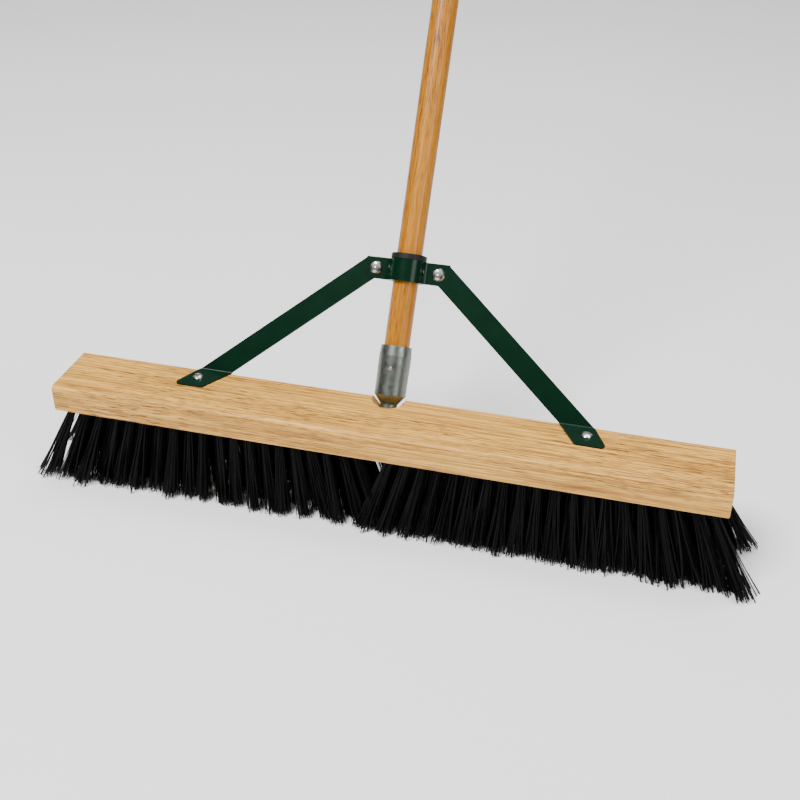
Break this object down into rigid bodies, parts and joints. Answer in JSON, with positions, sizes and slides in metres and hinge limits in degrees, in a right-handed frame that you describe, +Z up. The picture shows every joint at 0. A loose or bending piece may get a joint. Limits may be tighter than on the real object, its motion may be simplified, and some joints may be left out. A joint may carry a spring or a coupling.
{
  "type": "push broom",
  "caption": "Wide push broom: wooden block with leaning stiff bristle tufts, a screw-in wooden handle and a two-strip steel brace clamped round it.",
  "frame": {"origin": "on the floor under the middle of the block, in the plane of the bristle tips", "axes": "+X along the block, +Y behind the broom towards the leaning handle, +Z up"},
  "size_m": [0.6712, 0.8621, 1.3809],
  "materials": {
    "block_wood": "light hardwood, thin clear coat",
    "handle_wood": "honey-coloured lacquer",
    "bristle": "stiff dark fibre",
    "anchor_wire": "flat wire",
    "zinc": "dull zinc",
    "pin_steel": "bright nail head",
    "green_paint": "gloss dark green paint",
    "black_rubber": "matt rubber",
    "nickel": "bright nickel plate",
    "hardware_steel": "zinc plated"
  },
  "bodies": {
    "head": {"broom_block": "block_wood", "brace_left": "green_paint", "brace_right": "green_paint", "tuft_row_1": "bristle", "tuft_anchors_row_1": "anchor_wire", "tuft_row_2": "bristle", "tuft_anchors_row_2": "anchor_wire", "tuft_row_3": "bristle", "tuft_anchors_row_3": "anchor_wire", "tuft_row_4": "bristle", "tuft_anchors_row_4": "anchor_wire", "tuft_row_5": "bristle", "tuft_anchors_row_5": "anchor_wire", "bolt_left": "nickel", "foot_screw_left": "nickel", "bolt_right": "nickel", "foot_screw_right": "nickel"},
    "bushing": {"clamp_bushing": "black_rubber"},
    "stick": {"handle": "handle_wood", "handle_ferrule": "zinc", "ferrule_pin": "pin_steel"},
    "washer_left": {"lock_washer_left": "hardware_steel"},
    "nut_left": {"wing_nut_left": "hardware_steel"},
    "washer_right": {"lock_washer_right": "hardware_steel"},
    "nut_right": {"wing_nut_right": "hardware_steel"}
  },
  "joints": [
    {"name": "handle_turn", "type": "hinge", "parent": "head", "child": "bushing", "pos_m": [0, 0.0913, 0.19984], "axis": [0, 0.5255, 0.8508], "range_deg": [0, 1080]},
    {"name": "handle_lift", "type": "slide", "parent": "bushing", "child": "stick", "axis": [0, 0.5255, 0.8508], "range_m": [0, 0.01524]},
    {"name": "nut_left_travel", "type": "slide", "parent": "head", "child": "washer_left", "axis": [0, 0.8508, -0.5255], "range_m": [0, 0.00317]},
    {"name": "nut_left_turn", "type": "hinge", "parent": "washer_left", "child": "nut_left", "pos_m": [-0.029, 0.09266, 0.199], "axis": [0, 0.8508, -0.5255], "range_deg": [0, 1080]},
    {"name": "nut_right_travel", "type": "slide", "parent": "head", "child": "washer_right", "axis": [0, 0.8508, -0.5255], "range_m": [0, 0.00317]},
    {"name": "nut_right_turn", "type": "hinge", "parent": "washer_right", "child": "nut_right", "pos_m": [0.029, 0.09266, 0.199], "axis": [0, 0.8508, -0.5255], "range_deg": [0, 1080]}
  ],
  "couplings": [
    {"joint": "handle_turn", "follows": "handle_lift", "rad_per_m": 1236.8},
    {"joint": "nut_left_turn", "follows": "nut_left_travel", "rad_per_m": 5936.9},
    {"joint": "nut_right_turn", "follows": "nut_right_travel", "rad_per_m": 5936.9}
  ]
}
